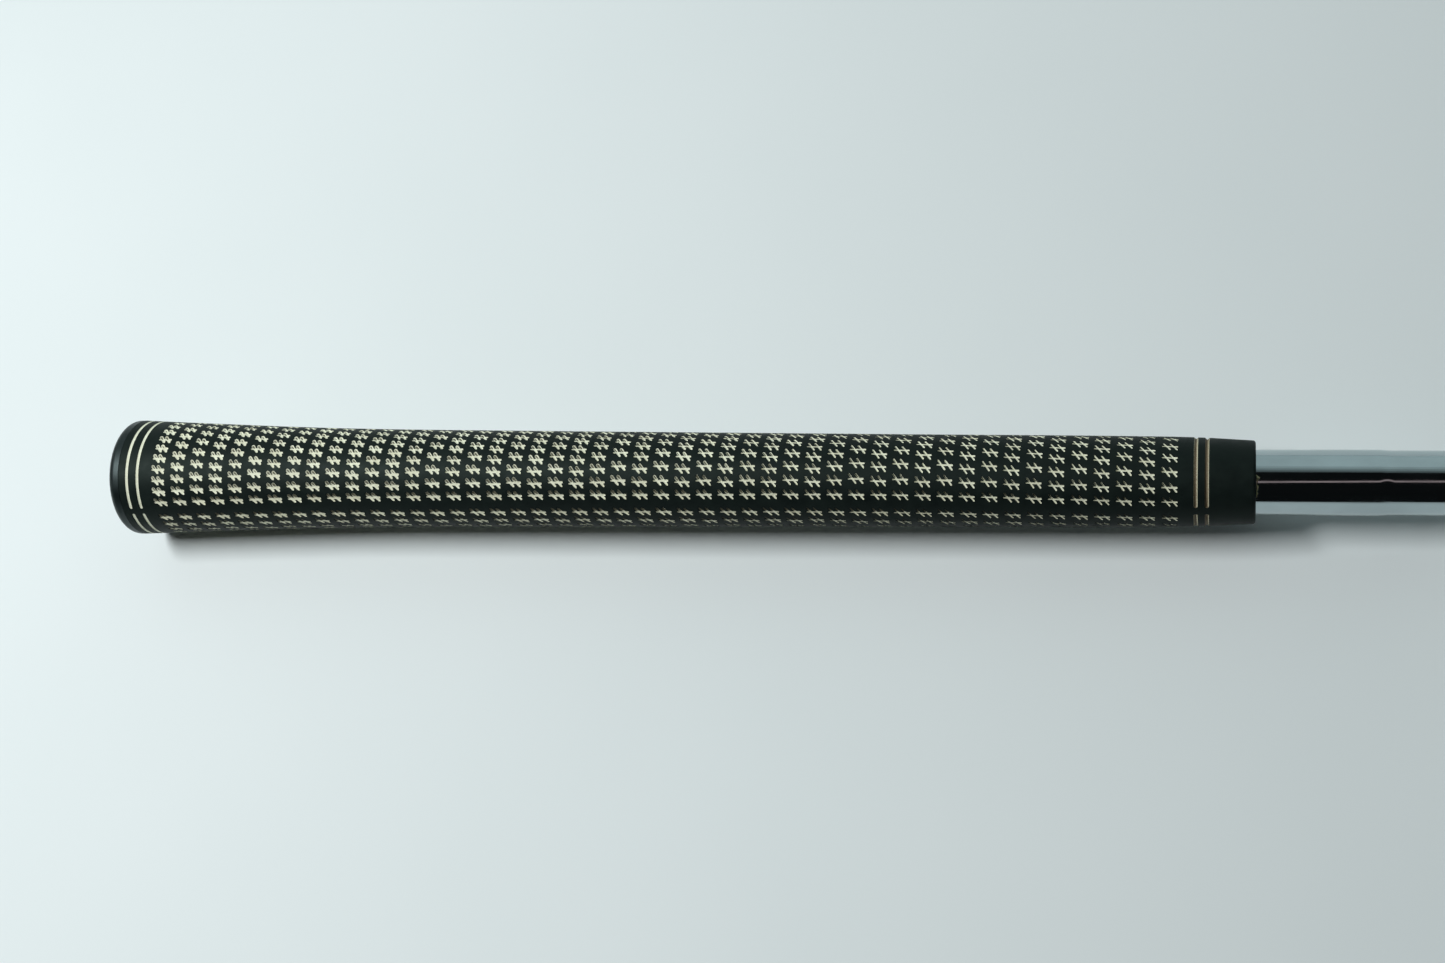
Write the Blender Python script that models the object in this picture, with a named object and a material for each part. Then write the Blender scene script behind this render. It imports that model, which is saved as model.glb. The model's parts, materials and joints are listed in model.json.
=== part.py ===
"""A rubber golf grip, bonded with tape to the butt section of a stepped steel shaft.

The grip lies on its side: its axis runs along X, with the butt at -X and the
shaft leaving at +X, and the widest part of the end cap rests on Z = 0. The
origin is under the middle of the whole length. Every turned part has flats, so
that the grip rests on one of them. A radius is measured to the middle of a flat.
Lengths below are in millimetres, counted along the axis from the butt end.
"""

import math

import bmesh
import bpy
from mathutils import Matrix

# Whole object
GRIP_LENGTH = 276.0
SHAFT_SHOWN = 46.0
TOTAL_LENGTH = GRIP_LENGTH + SHAFT_SHOWN
FLATS = 32
FLAT_ANGLE = math.tau / FLATS
GAP = 0.1

# End cap: a flange with a rounded rim, and a plug that enters the sleeve
CAP_RADIUS = 14.4
CAP_FLANGE = 3.1
CAP_ROUNDING = 2.0
CAP_DISH_RADIUS = 10.0
CAP_DISH_DEPTH = 0.4
PLUG_RADIUS = 10.2
PLUG_END = 10.2
VENT_RADIUS = 1.5
RIM_STEPS = 5

# Shaft: 14.5 mm tube with its first swaged step just past the grip
SHAFT_RADIUS = 7.25
SHAFT_WALL = 0.6
SHAFT_START = PLUG_END + 0.6
STEP_START = GRIP_LENGTH + 25.8
STEP_LENGTH = 3.0
STEP_DROP = 0.18

# Double-sided tape: round the shaft, over its end and tucked into its bore
TAPE_THICKNESS = 0.3
TAPE_START = PLUG_END + 0.2
TAPE_END = GRIP_LENGTH - 0.4
TUCK_DEPTH = 15.0

# Sleeve: outer shape as distance from the butt and radius
SLEEVE_START = CAP_FLANGE + 0.2
SLEEVE_SHAPE = (
    (SLEEVE_START, 14.38),
    (10.7, 14.05),
    (21.7, 13.60),
    (45.7, 12.68),
    (62.7, 12.22),
    (100.7, 11.70),
    (150.7, 11.18),
    (200.7, 10.69),
    (245.7, 10.28),
    (263.7, 9.94),
    (GRIP_LENGTH - 0.7, 9.28),
)
SLEEVE_STATIONS = 26
BORE_RADIUS = SHAFT_RADIUS + TAPE_THICKNESS + 2 * GAP

# Rounded mouth: how far each corner is behind the end, and its drop in radius
MOUTH_ROUNDING = ((0.2, 0.175), (0.0, 0.7))

# Painted rings: distance, width, angle of the parting line and the break at it
RING_PAINT_DEPTH = 0.45
RING_SUNK = 0.03
FLOOR_GAP = 0.15
CUT_HEIGHT = 1.0
RINGS = (
    ("butt_ring_outer", 5.5, 0.8, math.radians(-56.0), math.radians(6)),
    ("butt_ring_inner", 8.3, 0.8, math.radians(-56.0), math.radians(6)),
    ("mouth_ring_inner", GRIP_LENGTH - 12.8, 1.0, math.radians(-59.5), math.radians(10)),
    ("mouth_ring_outer", GRIP_LENGTH - 10.4, 1.0, math.radians(-59.5), math.radians(10)),
)

# Adhesive that was squeezed out of the mouth beside the shaft
BEAD_START = GRIP_LENGTH + GAP
BEAD_WIDTH = 0.9
BEAD_HEIGHT = 0.55
BEAD_TOP = 0.7
BEAD_SHOULDER = 0.8
BEAD_ANGLE = math.radians(-26.0)
BEAD_SWEEP = math.radians(40.0)

for old in list(bpy.data.objects):
    bpy.data.objects.remove(old)


def material(name, colour, roughness, metallic=0.0):
    """One Principled material with a plain colour."""
    made = bpy.data.materials.new(name)
    made.use_nodes = True
    shader = made.node_tree.nodes["Principled BSDF"]
    shader.inputs["Base Color"].default_value = (*colour, 1.0)
    shader.inputs["Roughness"].default_value = roughness
    shader.inputs["Metallic"].default_value = metallic
    return made


RUBBER = material("sleeve_rubber", (0.018, 0.020, 0.021), 0.75)
CAP_RUBBER = material("cap_rubber", (0.014, 0.015, 0.017), 0.4)
PAINT = material("cream_paint", (0.66, 0.65, 0.50), 0.6)
TAPE = material("masking_tape", (0.50, 0.42, 0.27), 0.8)
ADHESIVE = material("tape_adhesive", (0.62, 0.52, 0.30), 0.5)
CHROME = material("chromed_steel", (0.62, 0.63, 0.65), 0.12, 1.0)

axis = bpy.data.objects.new("grip_axis", None)
bpy.context.collection.objects.link(axis)
axis.location = (-TOTAL_LENGTH / 2000, 0, CAP_RADIUS / 1000)


def add_object(name, shape, look):
    """Turn a bmesh into a smooth-shaded object on the grip's axis."""
    bmesh.ops.recalc_face_normals(shape, faces=shape.faces)
    mesh = bpy.data.meshes.new(name)
    shape.to_mesh(mesh)
    shape.free()
    mesh.materials.append(look)
    mesh.shade_smooth()
    mesh.set_sharp_from_angle(angle=math.radians(25))
    made = bpy.data.objects.new(name, mesh)
    bpy.context.collection.objects.link(made)
    made.parent = axis
    return made


def section_verts(shape, section, flat_to_corner):
    """Vertices of a closed section, given as distance and radius, above the axis."""
    return [
        shape.verts.new((distance / 1000, 0, radius * flat_to_corner / 1000))
        for distance, radius in section
    ]


def turned(name, section, look):
    """Turn a closed section once round the axis, with a flat at the bottom."""
    shape = bmesh.new()
    corners = section_verts(shape, section, 1 / math.cos(FLAT_ANGLE / 2))
    loop = [shape.edges.new(pair) for pair in zip(corners, corners[1:] + corners[:1])]
    bmesh.ops.rotate(
        shape, verts=corners, cent=(0, 0, 0), matrix=Matrix.Rotation(FLAT_ANGLE / 2, 3, "X")
    )
    bmesh.ops.spin(
        shape, geom=corners + loop, cent=(0, 0, 0), axis=(1, 0, 0), angle=math.tau, steps=FLATS
    )
    bmesh.ops.remove_doubles(shape, verts=shape.verts, dist=1e-6)
    return add_object(name, shape, look)


def swept(name, section, look, middle, sweep):
    """Sweep a closed section round part of a turn; angles count from the top towards +Y."""
    shape = bmesh.new()
    steps = max(4, round(sweep / FLAT_ANGLE))
    corners = section_verts(shape, section, 1 / math.cos(sweep / steps / 2))
    face = shape.faces.new(corners)
    bmesh.ops.rotate(
        shape, verts=corners, cent=(0, 0, 0), matrix=Matrix.Rotation(-middle + sweep / 2, 3, "X")
    )
    bmesh.ops.spin(shape, geom=[face], cent=(0, 0, 0), axis=(1, 0, 0), angle=-sweep, steps=steps)
    return add_object(name, shape, look)


def box_section(start, width, low, high):
    """A rectangular section, from start along the axis and between two radii."""
    return [(start, low), (start + width, low), (start + width, high), (start, high)]


def sleeve_radius(distance):
    """Outer radius of the sleeve: a smooth curve through SLEEVE_SHAPE."""
    points = SLEEVE_SHAPE
    slopes = [(b[1] - a[1]) / (b[0] - a[0]) for a, b in zip(points, points[1:])]
    tangents = [slopes[0]]
    tangents += [(left + right) / 2 for left, right in zip(slopes, slopes[1:])]
    tangents.append(slopes[-1])
    for place, (a, b) in enumerate(zip(points, points[1:])):
        if distance <= b[0] or b is points[-1]:
            break
    span = b[0] - a[0]
    t = min(max((distance - a[0]) / span, 0.0), 1.0)
    start_pull = t * (1 - t) ** 2 * span * tangents[place]
    end_pull = -(t**2) * (1 - t) * span * tangents[place + 1]
    return a[1] * (1 + 2 * t) * (1 - t) ** 2 + b[1] * t**2 * (3 - 2 * t) + start_pull + end_pull


def make_end_cap():
    """Rounded flange, shallow dish, vent hole and plug, as one turned section."""
    rim_centre = (CAP_ROUNDING, CAP_RADIUS - CAP_ROUNDING)
    rim = []
    for step in range(RIM_STEPS + 1):
        turn = math.pi / 2 * step / RIM_STEPS
        rim.append(
            (
                rim_centre[0] - CAP_ROUNDING * math.cos(turn),
                rim_centre[1] + CAP_ROUNDING * math.sin(turn),
            )
        )
    dish = [
        (CAP_DISH_DEPTH, VENT_RADIUS),
        (CAP_DISH_DEPTH, CAP_DISH_RADIUS - CAP_DISH_DEPTH),
        (0.0, CAP_DISH_RADIUS),
    ]
    plug = [
        (CAP_FLANGE, CAP_RADIUS),
        (CAP_FLANGE, PLUG_RADIUS),
        (PLUG_END, PLUG_RADIUS),
        (PLUG_END, VENT_RADIUS),
    ]
    return turned("end_cap", dish + rim + plug, CAP_RUBBER)


def make_sleeve():
    """Moulded sleeve with its bore, the recess for the plug and the rounded mouth."""
    shape_end = SLEEVE_SHAPE[-1][0]
    outside = []
    for station in range(SLEEVE_STATIONS + 1):
        distance = SLEEVE_START + (shape_end - SLEEVE_START) * station / SLEEVE_STATIONS
        outside.append((distance, sleeve_radius(distance)))
    mouth_radius = outside[-1][1]
    mouth = [(GRIP_LENGTH - back, mouth_radius - drop) for back, drop in MOUTH_ROUNDING]
    bore = [
        (GRIP_LENGTH, BORE_RADIUS),
        (TAPE_START, BORE_RADIUS),
        (TAPE_START, PLUG_RADIUS + GAP),
        (SLEEVE_START, PLUG_RADIUS + GAP),
    ]
    return turned("grip_sleeve", outside + mouth + bore, RUBBER)


def make_rings(sleeve):
    """Four painted rings, each in two arcs, and the grooves that hold them."""
    for ring, distance, width, parting, break_angle in RINGS:
        top = sleeve_radius(distance) - RING_SUNK
        floor = top - RING_PAINT_DEPTH
        sweep = math.pi - break_angle
        for side, turn in (("far", math.pi / 2), ("near", -math.pi / 2)):
            middle = parting + turn
            paint = box_section(distance - width / 2, width, floor, top)
            groove = box_section(
                distance - width / 2 - GAP, width + 2 * GAP, floor - FLOOR_GAP, top + CUT_HEIGHT
            )
            name = f"{ring}_{side}"
            swept(name, paint, PAINT, middle, sweep)
            groove_sweep = sweep + 2 * GAP / floor
            cutter = swept(f"{name}_cutter", groove, RUBBER, middle, groove_sweep)
            cutter.hide_render = True
            cutter.display_type = "WIRE"
            cut = sleeve.modifiers.new(f"{name}_groove", "BOOLEAN")
            cut.operation = "DIFFERENCE"
            cut.object = cutter


def make_tape():
    """Tape tube outside the shaft, turned over its end into the bore."""
    outer = SHAFT_RADIUS + GAP + TAPE_THICKNESS
    inner = SHAFT_RADIUS - SHAFT_WALL - GAP - TAPE_THICKNESS
    fold = TAPE_START + TAPE_THICKNESS
    section = [
        (TAPE_START, inner),
        (TAPE_START + TUCK_DEPTH, inner),
        (TAPE_START + TUCK_DEPTH, inner + TAPE_THICKNESS),
        (fold, inner + TAPE_THICKNESS),
        (fold, outer - TAPE_THICKNESS),
        (TAPE_END, outer - TAPE_THICKNESS),
        (TAPE_END, outer),
        (TAPE_START, outer),
    ]
    return turned("grip_tape", section, TAPE)


def make_shaft():
    """Thin steel tube whose outside and bore step down together."""
    def wall(offset):
        return [
            (SHAFT_START, SHAFT_RADIUS - offset),
            (STEP_START, SHAFT_RADIUS - offset),
            (STEP_START + STEP_LENGTH, SHAFT_RADIUS - STEP_DROP - offset),
            (TOTAL_LENGTH, SHAFT_RADIUS - STEP_DROP - offset),
        ]

    return turned("shaft_butt", wall(0) + wall(SHAFT_WALL)[::-1], CHROME)


def make_bead():
    """A short run of adhesive round the shaft at the sleeve's mouth."""
    low = SHAFT_RADIUS + GAP
    section = [
        (BEAD_START, low),
        (BEAD_START + BEAD_WIDTH, low),
        (BEAD_START + BEAD_WIDTH * BEAD_TOP, low + BEAD_HEIGHT * BEAD_SHOULDER),
        (BEAD_START, low + BEAD_HEIGHT),
    ]
    return swept("adhesive_bead", section, ADHESIVE, BEAD_ANGLE, BEAD_SWEEP)


make_end_cap()
make_rings(make_sleeve())
make_tape()
make_shaft()
make_bead()
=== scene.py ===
"""Looks of a black rubber golf grip with a moulded cross-line pattern, on its chromed shaft.

Lengths along the grip are in millimetres from the butt end. Angles run round the axis,
from the top towards +Y. "Far" is the +Y side and "near" the -Y side.
"""

import json

import math
import random

import bmesh
import bpy
from mathutils import Matrix, Vector, geometry, noise

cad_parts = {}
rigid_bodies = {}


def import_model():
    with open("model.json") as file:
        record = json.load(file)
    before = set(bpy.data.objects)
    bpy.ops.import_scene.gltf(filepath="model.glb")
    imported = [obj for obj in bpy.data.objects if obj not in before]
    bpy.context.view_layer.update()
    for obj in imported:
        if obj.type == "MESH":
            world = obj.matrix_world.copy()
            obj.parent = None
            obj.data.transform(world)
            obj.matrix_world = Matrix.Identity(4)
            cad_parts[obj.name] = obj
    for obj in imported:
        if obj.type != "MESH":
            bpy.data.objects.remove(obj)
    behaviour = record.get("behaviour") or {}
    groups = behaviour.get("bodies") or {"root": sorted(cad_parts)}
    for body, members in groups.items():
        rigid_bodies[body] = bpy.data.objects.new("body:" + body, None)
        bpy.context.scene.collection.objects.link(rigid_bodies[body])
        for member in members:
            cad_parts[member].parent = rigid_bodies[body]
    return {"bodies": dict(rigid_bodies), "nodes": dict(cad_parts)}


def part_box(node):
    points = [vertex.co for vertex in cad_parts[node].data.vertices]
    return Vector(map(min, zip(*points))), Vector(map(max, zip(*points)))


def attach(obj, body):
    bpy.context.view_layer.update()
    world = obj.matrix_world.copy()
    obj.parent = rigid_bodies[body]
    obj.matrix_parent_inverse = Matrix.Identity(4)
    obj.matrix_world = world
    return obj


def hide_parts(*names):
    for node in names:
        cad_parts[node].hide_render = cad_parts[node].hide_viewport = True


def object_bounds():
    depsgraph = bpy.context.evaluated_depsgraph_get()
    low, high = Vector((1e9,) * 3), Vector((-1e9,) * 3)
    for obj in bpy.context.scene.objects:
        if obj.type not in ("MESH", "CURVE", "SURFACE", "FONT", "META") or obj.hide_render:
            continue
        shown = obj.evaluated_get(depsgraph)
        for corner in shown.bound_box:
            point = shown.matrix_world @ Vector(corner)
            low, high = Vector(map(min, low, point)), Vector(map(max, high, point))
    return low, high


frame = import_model()
cad_low, cad_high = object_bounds()

MM = 0.001
BODY = next(iter(frame["bodies"]))
BUTT_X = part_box("end_cap")[0][0]
SHAFT_LOW, SHAFT_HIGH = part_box("shaft_butt")
AXIS_Z = (SHAFT_LOW[2] + SHAFT_HIGH[2]) / 2
TOTAL_LENGTH = (cad_high[0] - cad_low[0]) / MM
GRIP_LENGTH = (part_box("grip_sleeve")[1][0] - BUTT_X) / MM
CAP_RADIUS = (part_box("end_cap")[1][2] - AXIS_Z) / MM
SHAFT_RADIUS = (SHAFT_HIGH[2] - AXIS_Z) / MM

random.seed(7)

# Sizes of the grip's own pieces, the sleeve's shape as distance from the butt and radius
MOUTH_ROUNDING = 0.7
SLEEVE_START = (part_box("grip_sleeve")[0][0] - BUTT_X) / MM
SLEEVE_SHAPE = (
    (SLEEVE_START, 14.38),
    (10.7, 14.05),
    (21.7, 13.60),
    (45.7, 12.68),
    (62.7, 12.22),
    (100.7, 11.70),
    (150.7, 11.18),
    (200.7, 10.69),
    (245.7, 10.28),
    (263.7, 9.94),
    (GRIP_LENGTH - MOUTH_ROUNDING, 9.28),
)
BORE_RADIUS = SHAFT_RADIUS + 0.5
PLUG_RADIUS = 10.2
PLUG_END = 10.2
PLUG_ROOM = 0.2
CLEARANCE = 0.1
CAP_ROUNDING = 2.0
CAP_GAP = 0.05
VENT_RADIUS = 1.5
DISH = ((0.4, 9.3), (0.32, 9.55), (0.15, 9.78), (0.04, 9.92), (0.0, 10.05), (0.0, 10.4))
SHAFT_START = PLUG_END + 0.6
SHAFT_WALL = 0.6
STEP_START = GRIP_LENGTH + 25.8
STEP_LENGTH = 3.0
STEP_DROP = 0.18
STATIONS = 144
HALF = STATIONS // 2

# Pattern: columns of marks along the grip, rows round it
COLUMNS = 49
FIRST_COLUMN = 13.4
COLUMN_PITCH = 5.146
STRETCHED_TO = 10
STRETCH = 0.004
SQUEEZED_FROM = 27
SQUEEZE = 0.0065
PARTING_LINE = (
    (0, -56.0),
    (22, -55.1),
    (68, -52.8),
    (113, -50.5),
    (156, -49.1),
    (184, -48.7),
    (206, -50.3),
    (238, -55.2),
    (264, -59.5),
    (276, -61.0),
)
ROW_COUNTS = ((0, 14), (1, 13), (4, 12), (13, 11), (22, 10), (33, 9))
ROW_MARGIN = 2.33
POCKET_DEPTH = 0.42
PAINT_FLOOR = 0.40
END_STEPS = 3


def smooth_through(points, place):
    """Height of a smooth curve through the points at one place."""
    slopes = [(b[1] - a[1]) / (b[0] - a[0]) for a, b in zip(points, points[1:])]
    tangents = [slopes[0]]
    tangents += [(left + right) / 2 for left, right in zip(slopes, slopes[1:])]
    tangents.append(slopes[-1])
    for index, (a, b) in enumerate(zip(points, points[1:])):
        if place <= b[0] or b is points[-1]:
            break
    span = b[0] - a[0]
    t = min(max((place - a[0]) / span, 0.0), 1.0)
    start_pull = t * (1 - t) ** 2 * span * tangents[index]
    end_pull = -(t**2) * (1 - t) * span * tangents[index + 1]
    return a[1] * (1 + 2 * t) * (1 - t) ** 2 + b[1] * t**2 * (3 - 2 * t) + start_pull + end_pull


def sleeve_radius(distance):
    """Outer radius of the sleeve."""
    return smooth_through(SLEEVE_SHAPE, distance)


def parting_angle(distance):
    """Where the first parting line is; it wanders a little round the sleeve."""
    return math.radians(smooth_through(PARTING_LINE, distance))


def on_grip(distance, radius, angle):
    """A point given along, out from and round the axis, in metres."""
    return (
        BUTT_X + distance * MM,
        radius * math.sin(angle) * MM,
        AXIS_Z + radius * math.cos(angle) * MM,
    )


# ---------------------------------------------------------------- materials


EVEN = (1, 1, 1)


def srgb(code):
    """Linear colour of an sRGB hex code."""
    parts = [int(code[i : i + 2], 16) / 255 for i in (1, 3, 5)]
    return (*[p / 12.92 if p <= 0.04045 else ((p + 0.055) / 1.055) ** 2.4 for p in parts], 1.0)


def add_node(tree, kind, links=None, **settings):
    """Add a node; links holds its input sockets' values or the sockets that feed them."""
    made = tree.nodes.new(kind)
    for name, value in settings.items():
        setattr(made, name, value)
    for socket, value in (links or {}).items():
        if isinstance(value, bpy.types.NodeSocket):
            tree.links.new(value, made.inputs[socket])
        else:
            made.inputs[socket].default_value = value
    return made


def finish(name, fields, tones, tone_span, roughness, relief, rough_by=0, rough_span=(0.3, 0.7)):
    """A Principled material whose colour, roughness and relief follow fields of noise.

    A field is its features to the millimetre, its detail and its stretch. The first one mixes
    the two tones, the one numbered rough_by sets the roughness, and the last one is the relief,
    whose height is in millimetres.
    """
    made = bpy.data.materials.new(name)
    made.use_nodes = True
    tree = made.node_tree
    shader = tree.nodes["Principled BSDF"]
    place = add_node(tree, "ShaderNodeTexCoord").outputs["Object"]
    noises = []
    for per_mm, detail, stretch in fields:
        scale = [per_mm / MM * along for along in stretch]
        scaled = add_node(tree, "ShaderNodeMapping", {"Vector": place, "Scale": scale}).outputs[0]
        settings = {"Vector": scaled, "Scale": 1.0, "Detail": detail, "Roughness": 0.55}
        noises.append(add_node(tree, "ShaderNodeTexNoise", settings).outputs["Fac"])
    share = add_node(
        tree,
        "ShaderNodeMapRange",
        {"Value": noises[0], "From Min": tone_span[0], "From Max": tone_span[1]},
    ).outputs[0]
    first, second = [srgb(tone) for tone in tones]
    colour = add_node(
        tree, "ShaderNodeMix", {"Factor": share, 6: first, 7: second}, data_type="RGBA"
    ).outputs[2]
    tree.links.new(colour, shader.inputs["Base Color"])
    rough = add_node(
        tree,
        "ShaderNodeMapRange",
        {
            "Value": noises[rough_by],
            "From Min": rough_span[0],
            "From Max": rough_span[1],
            "To Min": roughness[0],
            "To Max": roughness[1],
        },
    ).outputs[0]
    tree.links.new(rough, shader.inputs["Roughness"])
    height, strength = relief
    bumped = add_node(
        tree,
        "ShaderNodeBump",
        {"Height": noises[-1], "Distance": height * MM, "Strength": strength},
    ).outputs[0]
    tree.links.new(bumped, shader.inputs["Normal"])
    return made, tree, shader, noises, colour


def moulded_rubber():
    """Natural rubber with cork filler, moulded matte.

    It is near black with a greenish cast. Clouds of 3 mm mottle it, and its pebbled skin has
    grains of 0.17 mm, the highest of which hold dust. Its gloss is weaker than a typical
    rubber's and tinted, matched to this grip.
    """
    made, tree, shader, (_, grain), body = finish(
        "moulded_rubber",
        ((0.35, 4.0, EVEN), (6.0, 2.0, EVEN)),
        ("#0d1413", "#131b19"),
        (0.3, 0.7),
        (0.50, 0.64),
        (0.03, 0.6),
    )
    dust = add_node(
        tree,
        "ShaderNodeMapRange",
        {"Value": grain, "From Min": 0.62, "From Max": 0.8, "To Min": 0.0, "To Max": 0.25},
    ).outputs[0]
    dusted = add_node(
        tree, "ShaderNodeMix", {"Factor": dust, 6: body, 7: srgb("#2c3733")}, data_type="RGBA"
    ).outputs[2]
    tree.links.new(dusted, shader.inputs["Base Color"])
    shader.inputs["IOR"].default_value = 1.5
    shader.inputs["Specular IOR Level"].default_value = 0.14
    shader.inputs["Specular Tint"].default_value = (0.80, 1.0, 0.90, 1.0)
    return made


def polished_rubber():
    """The cap's rubber, moulded against polished steel: smoother, with a soft gloss.

    Hazy patches of 4 mm lie on it, and its grains of 0.2 mm are faint.
    """
    made, _, shader, _, _ = finish(
        "polished_rubber",
        ((0.25, 3.0, EVEN), (5.0, 2.0, EVEN)),
        ("#0a0f0f", "#121919"),
        (0.35, 0.7),
        (0.36, 0.46),
        (0.012, 0.5),
    )
    shader.inputs["IOR"].default_value = 1.5
    shader.inputs["Specular IOR Level"].default_value = 0.4
    shader.inputs["Specular Tint"].default_value = (0.8, 1.0, 1.0, 1.0)
    return made


def cream_paint(name, stain_and_shade):
    """Flexible cream paint wiped into moulded recesses: matte, patchy, and stain coloured where
    the paint has thinned away and where painted shade lies in the recesses.

    Patches are about 0.8 mm and flecks 0.15 mm. The points of the mesh say how far the paint
    has thinned away, together with how much painted shade darkens it, and how much its tone
    has yellowed.
    """
    made, tree, shader, (_, fleck), fresh = finish(
        name,
        ((1.2, 4.0, EVEN), (7.0, 3.0, EVEN)),
        ("#e9ecd6", "#d8d9be"),
        (0.3, 0.7),
        (0.55, 0.8),
        (0.03, 0.6),
        rough_by=1,
    )
    # The stain colour stands both for paint that has thinned away and for painted shade in the
    # recesses.
    wear_and_shade = add_node(tree, "ShaderNodeAttribute", attribute_name="wear_and_shade").outputs["Fac"]
    tone = add_node(tree, "ShaderNodeAttribute", attribute_name="tone").outputs["Fac"]
    toned = add_node(
        tree, "ShaderNodeMix", {"Factor": tone, 6: fresh, 7: srgb("#b7b296")}, data_type="RGBA"
    ).outputs[2]
    uneven = add_node(
        tree,
        "ShaderNodeMapRange",
        {"Value": fleck, "From Min": 0.25, "From Max": 0.75, "To Min": -0.28, "To Max": 0.28},
    ).outputs[0]
    ragged = add_node(tree, "ShaderNodeMath", {0: wear_and_shade, 1: uneven}, operation="ADD").outputs[0]
    stain_and_shade_mask = add_node(
        tree, "ShaderNodeMapRange", {"Value": ragged, "From Min": 0.42, "From Max": 0.62}
    ).outputs[0]
    left = add_node(
        tree, "ShaderNodeMix", {"Factor": stain_and_shade_mask, 6: toned, 7: srgb(stain_and_shade)}, data_type="RGBA"
    ).outputs[2]
    tree.links.new(left, shader.inputs["Base Color"])
    return made


def chromed_steel():
    """Chrome plate on drawn tube: mirror bright and faintly blue.

    Haze lies on it in patches of 8 mm that run lengthwise, with fine scratches the same way.
    """
    made, _, shader, _, _ = finish(
        "chromed_steel",
        ((0.12, 5.0, (0.5, 1, 1)), (4.0, 3.0, (0.03, 1, 1))),
        ("#bcc9cc", "#aebabd"),
        (0.35, 0.7),
        (0.06, 0.16),
        (0.004, 0.4),
        rough_span=(0.4, 0.75),
    )
    shader.inputs["Metallic"].default_value = 1.0
    return made


def dried_adhesive():
    """Tape adhesive dried in the air: waxy and straw yellow, in blots of under a millimetre."""
    made, _, shader, _, _ = finish(
        "dried_adhesive",
        ((1.5, 4.0, EVEN), (6.0, 3.0, EVEN)),
        ("#f2ecca", "#dccf9c"),
        (0.35, 0.65),
        (0.4, 0.65),
        (0.06, 0.7),
        rough_by=1,
    )
    shader.inputs["Subsurface Weight"].default_value = 0.1
    shader.inputs["Subsurface Scale"].default_value = 0.4 * MM
    return made


def crepe_tape():
    """Double-sided paper tape, creped across: buff paper with wrinkles of half a millimetre."""
    return finish(
        "crepe_tape",
        ((2.0, 3.0, (1, 0.2, 0.2)),),
        ("#c9b68c", "#a8946a"),
        (0.35, 0.65),
        (0.7, 0.85),
        (0.05, 0.7),
    )[0]


RUBBER = moulded_rubber()
CAP_RUBBER = polished_rubber()
PATTERN_PAINT = cream_paint("cream_paint", "#5c5a48")
RING_PAINT = cream_paint("ring_paint", "#6a5b44")
CHROME = chromed_steel()
ADHESIVE = dried_adhesive()
TAPE = crepe_tape()

# ---------------------------------------------------------------- meshes


WELD_DISTANCE = 2e-7


def add_piece(name, verts, faces, look, replaced, sharp=35.0):
    """A smooth-shaded piece that rides on the grip and stands for CAD nodes."""
    mesh = bpy.data.meshes.new(name)
    mesh.from_pydata(verts, [], faces)
    shape = bmesh.new()
    shape.from_mesh(mesh)
    bmesh.ops.remove_doubles(shape, verts=shape.verts, dist=WELD_DISTANCE)
    shape.to_mesh(mesh)
    shape.free()
    mesh.materials.append(look)
    mesh.shade_smooth()
    mesh.set_sharp_from_angle(angle=math.radians(sharp))
    made = bpy.data.objects.new(name, mesh)
    bpy.context.scene.collection.objects.link(made)
    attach(made, BODY)
    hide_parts(*replaced)


def turned_faces(section, stations, first=0, closed=True):
    """Quads of a section turned round the axis; the section is closed into a loop."""
    faces = []
    rows = len(section)
    last = rows if closed else rows - 1
    for row in range(last):
        after = (row + 1) % rows
        for station in range(stations):
            turn = (station + 1) % stations
            faces.append(
                (
                    first + row * stations + station,
                    first + row * stations + turn,
                    first + after * stations + turn,
                    first + after * stations + station,
                )
            )
    return faces


def turned_piece(name, section, look, replaced, stations=STATIONS, sharp=35.0):
    """A closed section of distance and radius, turned once round the axis."""
    verts = [
        on_grip(distance, radius, math.tau * station / stations)
        for distance, radius in section
        for station in range(stations)
    ]
    add_piece(name, verts, turned_faces(section, stations), look, replaced, sharp)


def arc_points(centre, radius, start, end, steps):
    """Points of an arc in a section; angles in degrees from the axis direction."""
    turns = [math.radians(start + (end - start) * step / steps) for step in range(steps + 1)]
    return [(centre[0] + radius * math.cos(t), centre[1] + radius * math.sin(t)) for t in turns]


def capsule(start, end, start_radius, end_radius):
    """Counter-clockwise outline of a tapered stroke with round ends."""
    heading = math.atan2(end[1] - start[1], end[0] - start[0])
    outline = []
    ends = ((end, end_radius, -math.pi / 2), (start, start_radius, math.pi / 2))
    for centre, radius, turn in ends:
        steps = END_STEPS if radius == max(start_radius, end_radius) else END_STEPS - 1
        for step in range(steps + 1):
            angle = heading + turn + math.pi * step / steps
            outline.append(
                (centre[0] + radius * math.cos(angle), centre[1] + radius * math.sin(angle))
            )
    return outline


def depth_share(place, strokes):
    """0 on the outline of the strokes, 1 on their centre lines."""
    best = 0.0
    for (ax, ay), (bx, by), start_radius, end_radius in strokes:
        dx, dy = bx - ax, by - ay
        t = ((place[0] - ax) * dx + (place[1] - ay) * dy) / max(dx * dx + dy * dy, 1e-9)
        t = min(max(t, 0.0), 1.0)
        away = math.hypot(place[0] - ax - t * dx, place[1] - ay - t * dy)
        best = max(best, 1 - away / (start_radius + (end_radius - start_radius) * t))
    return best


class Skin:
    """Vertices and faces that are being gathered for one mesh."""

    def __init__(self):
        self.verts = []
        self.faces = []
        self.wear_and_shade = []
        self.tone = []

    def point(self, place, wear_and_shade=0.0, tone=0.0):
        self.verts.append(place)
        self.wear_and_shade.append(wear_and_shade)
        self.tone.append(tone)
        return len(self.verts) - 1


sleeve = Skin()
paints = {}


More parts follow.
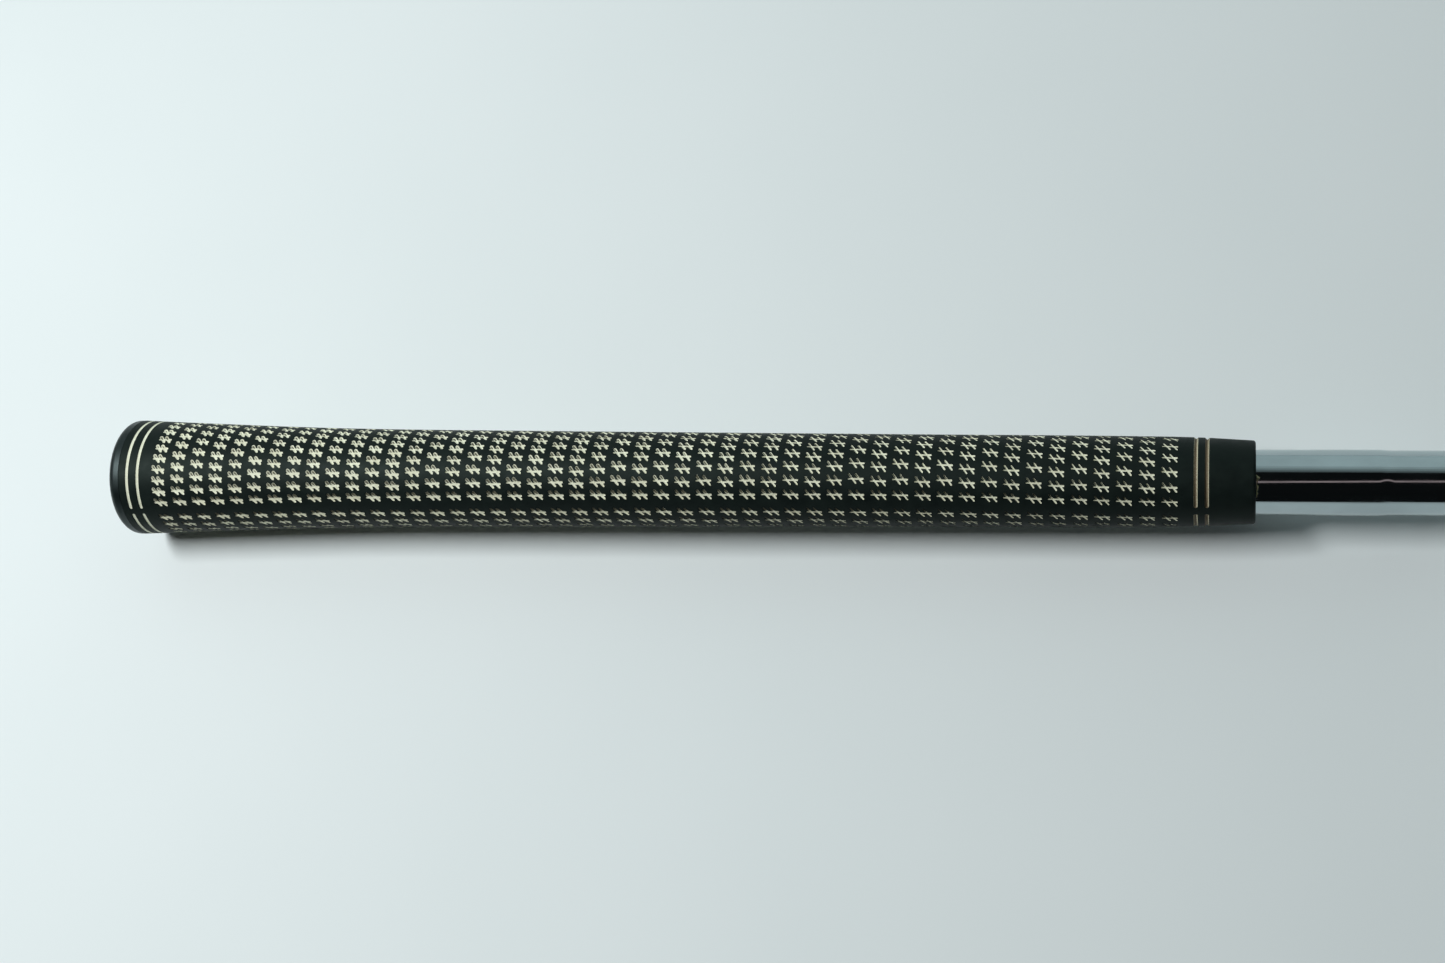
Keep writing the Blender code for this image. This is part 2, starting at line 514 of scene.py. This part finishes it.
def plain_band(start, end):
    """A ring of quads on the sleeve between two distances."""
    rows = []
    for distance in (start, end):
        radius = sleeve_radius(distance)
        turned = parting_angle(distance)
        rows.append(
            [
                sleeve.point(on_grip(distance, radius, turned + math.tau * s / STATIONS))
                for s in range(STATIONS + 1)
            ]
        )
    for station in range(STATIONS):
        sleeve.faces.append(
            (rows[0][station], rows[1][station], rows[1][station + 1], rows[0][station + 1])
        )


def pocket_band(start, end, pockets):
    """A ring of the sleeve with recesses, and the paint that fills each of them.

    A pocket has strokes in this band's own plane (along the axis, round the girth), outlines
    to cut, centre lines, the name of its paint piece and how its paint lies.
    """
    middle = (start + end) / 2
    girth_radius = sleeve_radius(middle)
    girth = math.tau * girth_radius
    flat, edges, loops, owners = [], [], [], []

    def add_loop(points):
        first = len(flat)
        flat.extend(points)
        loops.append(list(range(first, len(flat))))

    left = [(start, girth * s / STATIONS) for s in range(STATIONS + 1)]
    right = [(end, girth * s / STATIONS) for s in range(STATIONS + 1)]
    between = [start + (end - start) * share for share in (0.25, 0.5, 0.75)]
    bottom = [(place, 0.0) for place in between]
    top = [(place, girth) for place in reversed(between)]
    add_loop([left[0]] + bottom + right + top + left[:0:-1])
    owners.append(None)
    for number, pocket in enumerate(pockets):
        for outline in pocket["outlines"]:
            add_loop(outline)
            owners.append(number)
        for line in pocket["lines"]:
            first = len(flat)
            flat.extend(line)
            edges.extend((first + i, first + i + 1) for i in range(len(line) - 1))
    flat.extend((place, girth / 2) for place in between)
    places, _, triangles, _, _, sources = geometry.delaunay_2d_cdt(
        [Vector(p) for p in flat], edges, loops, 0, 1e-6
    )

    owner_of = []
    for source in sources:
        found = [owners[index] for index in source if owners[index] is not None]
        owner_of.append(found[0] if found else None)

    def lifted(place, depth):
        radius = sleeve_radius(place[0]) - depth
        return on_grip(place[0], radius, parting_angle(place[0]) + place[1] / girth_radius)

    surface = {}
    floor = {}
    fills = [({}, {}) for _ in pockets]

    def surface_point(index):
        if index not in surface:
            surface[index] = sleeve.point(lifted(places[index], 0.0))
        return surface[index]

    def floor_point(index):
        if index not in floor:
            floor[index] = sleeve.point(lifted(places[index], POCKET_DEPTH))
        return floor[index]

    def fill_point(number, index, level):
        known = fills[number][level]
        if index not in known:
            pocket = pockets[number]
            place = places[index]
            paint = paints.setdefault(pocket["piece"], Skin())
            share = depth_share(place, pocket["strokes"])
            if level:
                known[index] = paint.point(lifted(place, PAINT_FLOOR), 0.0, pocket["tone"])
            else:
                depth = pocket["rim"] + (pocket["sunk"] - pocket["rim"]) * share
                wear_and_shade = pocket["wear_and_shade"](place, share)
                depth += 0.10 * wear_and_shade
                known[index] = paint.point(lifted(place, depth), wear_and_shade, pocket["tone"])
        return known[index]

    sides = {}
    for triangle, owner in zip(triangles, owner_of):
        if owner is None:
            sleeve.faces.append([surface_point(i) for i in triangle])
            continue
        sleeve.faces.append([floor_point(i) for i in triangle])
        paint = paints.setdefault(pockets[owner]["piece"], Skin())
        paint.faces.append([fill_point(owner, i, 0) for i in triangle])
        paint.faces.append([fill_point(owner, i, 1) for i in reversed(triangle)])
        for a, b in zip(triangle, list(triangle[1:]) + [triangle[0]]):
            if (b, a) in sides:
                del sides[(b, a)]
            else:
                sides[(a, b)] = owner
    for (a, b), owner in sides.items():
        sleeve.faces.append([surface_point(a), surface_point(b), floor_point(b), floor_point(a)])
        paint = paints[pockets[owner]["piece"]]
        paint.faces.append(
            [
                fill_point(owner, b, 0),
                fill_point(owner, a, 0),
                fill_point(owner, a, 1),
                fill_point(owner, b, 1),
            ]
        )


# ---------------------------------------------------------------- pattern

# One mark: a bar along the grip crossed by two slanted strokes, in shares of its size
BAR = ((-0.5, 0.0), (0.5, 0.0))
SLANTS = (((-0.44, 0.52), (0.02, -0.5)), ((0.02, 0.52), (0.5, -0.5)))
LOOP_MIDDLE = 0.25
MARK_WIDTH = ((5, 3.00), (60, 3.15), (130, 3.36), (200, 3.36), (258, 3.15))
MARK_HEIGHT = ((5, 1.60), (60, 1.64), (130, 1.88), (200, 2.04), (258, 1.84))
BAR_RADIUS = ((5, 0.36), (60, 0.33), (130, 0.29), (200, 0.24), (258, 0.24))
SLANT_RADIUS = ((5, 0.37), (60, 0.33), (130, 0.28), (200, 0.18), (258, 0.17))
LOOP_WIDENING = ((5, 1.20), (60, 1.30), (130, 1.40), (200, 1.15), (258, 1.0))
FOOT_WIDENING = ((5, 0.92), (130, 0.90), (200, 1.15), (258, 1.2))
# How dark the upper halves of the slanted strokes are painted along the grip: thin paint there, and
# painted shade in their deeper recesses.
LOOP_WEAR_AND_SHADE = ((5, 0.80), (60, 1.0), (130, 1.15), (180, 1.0), (215, 0.40), (258, 0.40))


def column_place(column):
    """Columns are evenly spaced, but closer together towards the sleeve's two ends."""
    stretched = max(0, STRETCHED_TO - column)
    squeezed = max(0, column - SQUEEZED_FROM)
    place = FIRST_COLUMN + COLUMN_PITCH * column
    return place + STRETCH * stretched**2 - SQUEEZE * squeezed**2


def row_count(column):
    """Marks in half a turn; neighbouring columns differ by one, so they stagger."""
    fewest = [count for start, count in ROW_COUNTS if column >= start][-1]
    return fewest + (1 if (fewest + column) % 2 == 0 else 0)


def mark(distance, girth_place, piece, beside_line, rubbed_and_shade, dirt_and_shade):
    """One cross-line recess with its paint.

    beside_line counts the rows to the nearest parting line, beside which the marks are painted
    darkest: thin paint, and painted shade where the light grazes the grooves. rubbed is the
    darkening along the edges of the upper halves, from rubbing and painted shade, and dirt the
    darkening all over: grime, with painted shade added on the lowest rows of the near half.
    """
    width = smooth_through(MARK_WIDTH, distance) * random.uniform(0.98, 1.02)
    height = smooth_through(MARK_HEIGHT, distance) * random.uniform(0.97, 1.03)
    bold = random.uniform(0.92, 1.08)
    bar = smooth_through(BAR_RADIUS, distance) * bold
    slant = smooth_through(SLANT_RADIUS, distance) * bold
    across = distance + random.uniform(-0.05, 0.05)
    up = girth_place + random.uniform(-0.04, 0.04)

    def placed(point):
        return (across + point[0] * width, up + point[1] * height)

    strokes = [(placed(BAR[0]), placed(BAR[1]), 0.6 * bar, 1.05 * bar)]
    loop = smooth_through(LOOP_WIDENING, distance) * slant
    foot = smooth_through(FOOT_WIDENING, distance) * slant
    strokes += [(placed(a), placed(b), loop, foot) for a, b in SLANTS]
    lines = [[strokes[0][0], strokes[0][1]]]
    for start, end, _, _ in strokes[1:]:
        halfway = [s + (e - s) * LOOP_MIDDLE for s, e in zip(start, end)]
        lines.append([start, tuple(halfway), end])
    # The upper halves darken along the grip, and most beside the parting lines: thin paint, with
    # painted shade where the light grazes the grooves.
    wear_with_shade = smooth_through(LOOP_WEAR_AND_SHADE, distance) * random.uniform(0.6, 1.15)
    wear_with_shade = max(wear_with_shade, 1.1 - 0.3 * beside_line)

    def wear_and_shade(place, share):
        """Upper halves of the slanted strokes are painted dark: thin paint and painted shade in the
        recess.
        """
        above = min(max((place[1] - up) / height * 4.5 - 0.2, 0.0), 1.0)
        return dirt_and_shade + above * (wear_with_shade * share + rubbed_and_shade * (1 - share))

    return {
        "strokes": strokes,
        "outlines": [capsule(*stroke) for stroke in strokes],
        "lines": lines,
        "piece": piece,
        "rim": random.uniform(0.02, 0.06),
        "sunk": random.uniform(0.2, 0.28),
        "wear_and_shade": wear_and_shade,
        "tone": random.uniform(0.0, 0.35) + max(0.0, 0.1 - 0.1 * beside_line),
    }


def column_marks(column):
    """Both halves of one column: rows between the two parting lines."""
    distance = column_place(column)
    half_girth = math.pi * sleeve_radius(distance)
    rows = row_count(column)
    pitch = (half_girth - 2 * ROW_MARGIN) / (rows - 1)
    marks = []
    for half, piece in enumerate(("pattern_paint_far", "pattern_paint_near")):
        for row in range(rows):
            place = half * half_girth + ROW_MARGIN + row * pitch
            beside_line = min(row, rows - 1 - row)
            dirt_and_shade = random.uniform(0.0, 0.12)
            # Edges of the upper halves are painted darker in the near half, whose rows lie lower:
            # painted shade on top of rubbing.
            rubbed_and_shade = max(0.0, (0.8 if half else 0.4) - 0.2 * beside_line)
            # The last three rows of the near half are painted darker the further they lie below the
            # parting line, towards the underside: painted shade.
            if half and row > rows - 4:
                dirt_and_shade += 0.08 + 0.1 * beside_line
            marks.append(mark(distance, place, piece, beside_line, rubbed_and_shade, dirt_and_shade))
    return marks


# Columns: name, distance from the butt, width, how dark the stain is across the ring at its butt
# side, middle and mouth side, tone, how deep the paint sinks, and the angle kept clear at each
# parting line. The mouth rings are painted darker on their butt side than on their mouth side:
# painted shade, as the light comes from the butt end.
RINGS = (
    ("butt_ring_outer", 5.5, 0.72, (0.0, 0.15, 0.0), 0.1, 0.12, 3.0),
    ("butt_ring_inner", 8.3, 0.72, (0.0, 0.15, 0.0), 0.1, 0.12, 3.0),
    ("mouth_ring_inner", GRIP_LENGTH - 12.8, 0.88, (0.45, 0.8, 0.25), 0.9, 0.30, 5.0),
    ("mouth_ring_outer", GRIP_LENGTH - 10.4, 0.88, (0.85, 1.1, 0.25), 0.9, 0.30, 5.0),
)
RING_SPAN = 1.15


def ring_arcs(ring, distance, width, wear_with_shade, tone, sunk, half_break):
    """Two painted arcs with round ends, one between each pair of parting lines."""
    girth_radius = sleeve_radius(distance)
    half_girth = math.pi * girth_radius
    margin = math.radians(half_break) * girth_radius
    radius = width / 2
    # On the mouth rings the butt side of this profile is painted darker, a painted shade.
    profile = [(distance + side * radius, wear_and_shade) for side, wear_and_shade in zip((-1, 0, 1), wear_with_shade)]
    arcs = []
    for half, side in enumerate(("far", "near")):
        low = half * half_girth + margin + radius
        high = (half + 1) * half_girth - margin - radius
        steps = [low + (high - low) * step / HALF for step in range(HALF + 1)]
        outline = [(distance + radius, place) for place in steps]
        for centre, start in ((high, 0.0), (low, math.pi)):
            if start:
                outline += [(distance - radius, place) for place in reversed(steps)]
            for step in range(1, 4):
                angle = start + math.pi * step / 4
                outline.append(
                    (distance + radius * math.cos(angle), centre + radius * math.sin(angle))
                )
        arcs.append(
            {
                "strokes": [((distance, low), (distance, high), radius, radius)],
                "outlines": [outline],
                "lines": [[(distance, place) for place in steps]],
                "piece": f"{ring}_{side}_paint",
                "rim": 0.03,
                "sunk": sunk,
                "wear_and_shade": lambda place, share: smooth_through(profile, place[0]),
                "tone": tone,
            }
        )
    return arcs


def make_sleeve():
    """Outside with all its recesses, then the rounded mouth, the bore and the plug's recess."""
    place = SLEEVE_START
    for ring in RINGS[:2]:
        start = max(place, ring[1] - RING_SPAN)
        if start > place:
            plain_band(place, start)
        pocket_band(start, ring[1] + RING_SPAN, ring_arcs(*ring))
        place = ring[1] + RING_SPAN
    columns = [column_place(column) for column in range(COLUMNS)]
    seams = [(a + b) / 2 for a, b in zip(columns, columns[1:])]
    seams = [2 * columns[0] - seams[0]] + seams + [2 * columns[-1] - seams[-1]]
    plain_band(place, seams[0])
    for column in range(COLUMNS):
        pocket_band(seams[column], seams[column + 1], column_marks(column))
    place = seams[-1]
    for ring in RINGS[2:]:
        plain_band(place, ring[1] - RING_SPAN)
        pocket_band(ring[1] - RING_SPAN, ring[1] + RING_SPAN, ring_arcs(*ring))
        place = ring[1] + RING_SPAN
    shape_end = SLEEVE_SHAPE[-1][0]
    collar = [place + (shape_end - place) * step / 6 for step in range(7)]
    for start, end in zip(collar, collar[1:]):
        plain_band(start, end)
    mouth_radius = sleeve_radius(shape_end)
    turned = parting_angle(shape_end)
    centre = (shape_end, mouth_radius - MOUTH_ROUNDING)
    inside = arc_points(centre, MOUTH_ROUNDING, 90, 0, 6)
    recess_end, recess_radius = PLUG_END + PLUG_ROOM, PLUG_RADIUS + CLEARANCE
    inside += [(GRIP_LENGTH, BORE_RADIUS), (recess_end, BORE_RADIUS)]
    inside += [(recess_end, recess_radius), (SLEEVE_START, recess_radius)]
    inside += [(SLEEVE_START, sleeve_radius(SLEEVE_START))]
    first = len(sleeve.verts)
    for distance, radius in inside:
        share = min(max(distance / shape_end, 0.0), 1.0)
        angle = turned * share + parting_angle(SLEEVE_START) * (1 - share)
        for station in range(STATIONS):
            sleeve.point(on_grip(distance, radius, angle + math.tau * station / STATIONS))
    faces = turned_faces(inside, STATIONS, first, closed=False)
    sleeve.faces.extend([tuple(reversed(face)) for face in faces])
    add_piece(
        "sleeve_skin", sleeve.verts, sleeve.faces, RUBBER, ["grip_sleeve"]
    )


def add_paint(name, paint, look, replaced):
    """A paint piece, with its thinning paint and painted shade, and its tone, stored on its points.
    """
    mesh = bpy.data.meshes.new(name)
    mesh.from_pydata(paint.verts, [], paint.faces)
    for attribute, values in (("wear_and_shade", paint.wear_and_shade), ("tone", paint.tone)):
        stored = mesh.attributes.new(attribute, "FLOAT", "POINT")
        stored.data.foreach_set("value", values)
    mesh.materials.append(look)
    mesh.shade_smooth()
    mesh.set_sharp_from_angle(angle=math.radians(60))
    made = bpy.data.objects.new(name, mesh)
    bpy.context.scene.collection.objects.link(made)
    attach(made, BODY)
    if replaced:
        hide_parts(*replaced)


def make_paint():
    """The pattern's two paint pieces, and one piece for each ring arc."""
    for name, paint in paints.items():
        if name.startswith("pattern"):
            add_paint(name, paint, PATTERN_PAINT, [])
        else:
            add_paint(name, paint, RING_PAINT, [name.removesuffix("_paint")])


def make_cap():
    """Rounded flange, dish, vent hole and plug."""
    rim_centre = (CAP_ROUNDING, CAP_RADIUS - CAP_ROUNDING)
    section = [(DISH[0][0], VENT_RADIUS), *DISH]
    section += arc_points(rim_centre, CAP_ROUNDING, 180, 90, 16)
    flange, edge = SLEEVE_START - CAP_GAP, 0.1
    section += [(flange - edge, CAP_RADIUS), (flange, CAP_RADIUS - edge), (flange, PLUG_RADIUS)]
    section += [(PLUG_END, PLUG_RADIUS), (PLUG_END, VENT_RADIUS)]
    turned_piece("cap_skin", section, CAP_RUBBER, ["end_cap"])


def make_shaft():
    """Plated tube with the soft shoulder of its first step."""
    low_radius, edge = SHAFT_RADIUS - STEP_DROP, 0.1
    outside = [(SHAFT_START, SHAFT_RADIUS - edge), (SHAFT_START + edge, SHAFT_RADIUS)]
    outside += [(GRIP_LENGTH + 1.0, SHAFT_RADIUS)]
    for step in range(9):
        share = step / 8
        eased = share * share * (3 - 2 * share)
        outside.append((STEP_START + STEP_LENGTH * share, SHAFT_RADIUS - STEP_DROP * eased))
    end, cut_edge = TOTAL_LENGTH, 0.08
    outside += [(end - cut_edge, low_radius), (end, low_radius - cut_edge)]
    inside = [(end, low_radius - SHAFT_WALL)]
    inside += [(STEP_START + STEP_LENGTH, low_radius - SHAFT_WALL)]
    inside += [(STEP_START, SHAFT_RADIUS - SHAFT_WALL), (SHAFT_START, SHAFT_RADIUS - SHAFT_WALL)]
    turned_piece(
        "shaft_tube", outside + inside, CHROME, ["shaft_butt"], 128, 30.0
    )


def make_bead():
    """A ragged run of adhesive that squeezed out beside the shaft."""
    low_x, high_x = ((side[0] - BUTT_X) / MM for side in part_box("adhesive_bead"))
    steps, section_steps = 60, 10
    start_angle, sweep = math.radians(-46), math.radians(40)
    verts, faces = [], []
    for step in range(steps + 1):
        share = step / steps
        angle = start_angle + sweep * share
        fade = min(1.0, 6 * share, 6 * (1 - share))
        lump = noise.noise(Vector((share * 9.0, 1.7, 0.0)))
        blob = math.exp(-(((share - 0.9) / 0.09) ** 2))
        reach = (high_x - low_x) * min(1.0, max(0.12, (0.42 + 0.5 * lump + 0.5 * blob) * fade))
        height = 0.5 * min(1.0, max(0.15, (0.55 + 0.35 * lump + 0.4 * blob) * fade))
        for part in range(section_steps):
            turn = math.tau * part / section_steps
            across = low_x + reach * (0.5 + 0.5 * math.cos(turn))
            out = SHAFT_RADIUS + CLEARANCE + height * (0.5 + 0.5 * math.sin(turn))
            verts.append(on_grip(across, out, angle))
    for step in range(steps):
        for part in range(section_steps):
            after = (part + 1) % section_steps
            a, b = step * section_steps, (step + 1) * section_steps
            faces.append((a + part, a + after, b + after, b + part))
    faces.append(tuple(range(section_steps - 1, -1, -1)))
    faces.append(tuple(range(steps * section_steps, (steps + 1) * section_steps)))
    add_piece("adhesive_run", verts, faces, ADHESIVE, ["adhesive_bead"], 60)


make_sleeve()
make_paint()
make_cap()
make_shaft()
make_bead()

frame["nodes"]["grip_tape"].material_slots[0].material = TAPE

# ---------------------------------------------------------------- stage

FLOOR_SIZE = 6.0
FLOOR_SHADE = 0.1
VIEW_TILT = math.radians(19.0)
VIEW_TURN = math.radians(14.19)
VIEW_ROLL = math.radians(0.263)
VIEW_DISTANCE = 460.0
VIEW_FOOT = 270.5
AIM_BELOW = 0.41


def make_floor():
    """A plain pale floor of matte painted board, its shade clouded a little."""
    half = FLOOR_SIZE / 2
    mesh = bpy.data.meshes.new("floor")
    corners = [(-half, -half, 0), (half, -half, 0), (half, half, 0), (-half, half, 0)]
    mesh.from_pydata(corners, [], [(0, 1, 2, 3)])
    made = bpy.data.objects.new("floor", mesh)
    bpy.context.scene.collection.objects.link(made)
    look = bpy.data.materials.new("pale_floor")
    look.use_nodes = True
    tree = look.node_tree
    shader = tree.nodes["Principled BSDF"]
    place = add_node(tree, "ShaderNodeTexCoord").outputs["Object"]
    shade = add_node(
        tree,
        "ShaderNodeTexNoise",
        {"Vector": place, "Scale": 1 / FLOOR_SHADE, "Detail": 2.0, "Roughness": 0.55},
    ).outputs["Fac"]
    pale, paler = srgb("#e4eaea"), srgb("#dee5e5")
    colour = add_node(
        tree, "ShaderNodeMix", {"Factor": shade, 6: pale, 7: paler}, data_type="RGBA"
    ).outputs[2]
    tree.links.new(colour, shader.inputs["Base Color"])
    shader.inputs["Roughness"].default_value = 0.9
    mesh.materials.append(look)


def add_area(name, place, size, power, colour):
    """A rectangular soft light that faces the grip."""
    lamp = bpy.data.lights.new(name, "AREA")
    lamp.shape = "RECTANGLE"
    lamp.size, lamp.size_y = size
    lamp.energy = power
    lamp.color = colour
    made = bpy.data.objects.new(name, lamp)
    bpy.context.scene.collection.objects.link(made)
    made.location = place
    made.rotation_euler = (Vector((0, 0, 0.01)) - made.location).to_track_quat("-Z", "Y").to_euler()
    made.visible_camera = False


def make_lights():
    """A soft light above the butt, a broad pale wall on the far side and a dim room."""
    add_area("overhead", (-0.45, 0.0, 0.75), (0.35, 0.13), 6.8, (0.96, 0.99, 1.0))
    for name, height in (("wall_a", 1.20), ("wall_b", 1.38), ("wall_c", 1.54), ("wall_d", 1.70)):
        across, up = 1.40 - height * 0.276, height * 0.417 - 0.01
        add_area(name, (0.0, across, up), (3.0, height), 1.25 * height, (0.82, 0.99, 1.0))
    add_area("side_wall", (-1.3, 0.0, 0.32), (1.6, 0.34), 0.7, (0.84, 1.0, 0.97))
    add_area("strip", (0.11, -0.20, 0.60), (0.5, 0.05), 0.03, (1.0, 0.74, 0.74))
    world = bpy.data.worlds.new("surround")
    bpy.context.scene.world = world
    world.use_nodes = True
    background = world.node_tree.nodes["Background"]
    background.inputs["Color"].default_value = (0.85, 0.95, 1.0, 1.0)
    background.inputs["Strength"].default_value = 0.006
    bpy.context.scene.view_settings.view_transform = "Standard"


def make_camera():
    """A normal lens above the mouth's end, turned towards the butt."""
    out = Vector((0, -math.sin(VIEW_TILT), math.cos(VIEW_TILT)))
    down = Vector((0, -math.cos(VIEW_TILT), -math.sin(VIEW_TILT)))
    along = Vector((1, 0, 0))
    foot = Vector(on_grip(VIEW_FOOT, 0, 0))
    place = foot + out * VIEW_DISTANCE * MM
    forward = -math.sin(VIEW_TURN) * along - math.cos(VIEW_TURN) * out
    reach = VIEW_DISTANCE * MM / math.cos(VIEW_TURN)
    forward = (forward * reach + down * AIM_BELOW * MM).normalized()
    right = forward.cross(-down).normalized()
    up = right.cross(forward).normalized()
    right, up = (
        right * math.cos(VIEW_ROLL) + up * math.sin(VIEW_ROLL),
        up * math.cos(VIEW_ROLL) - right * math.sin(VIEW_ROLL),
    )
    camera = bpy.data.objects.new("camera", bpy.data.cameras.new("camera"))
    camera.data.lens = 50
    camera.data.sensor_width = 36
    camera.data.clip_start = 0.01
    turned = Matrix((right, up, -forward)).transposed().to_4x4()
    camera.matrix_world = Matrix.Translation(place) @ turned
    bpy.context.scene.collection.objects.link(camera)
    bpy.context.scene.camera = camera


make_floor()
make_lights()
make_camera()
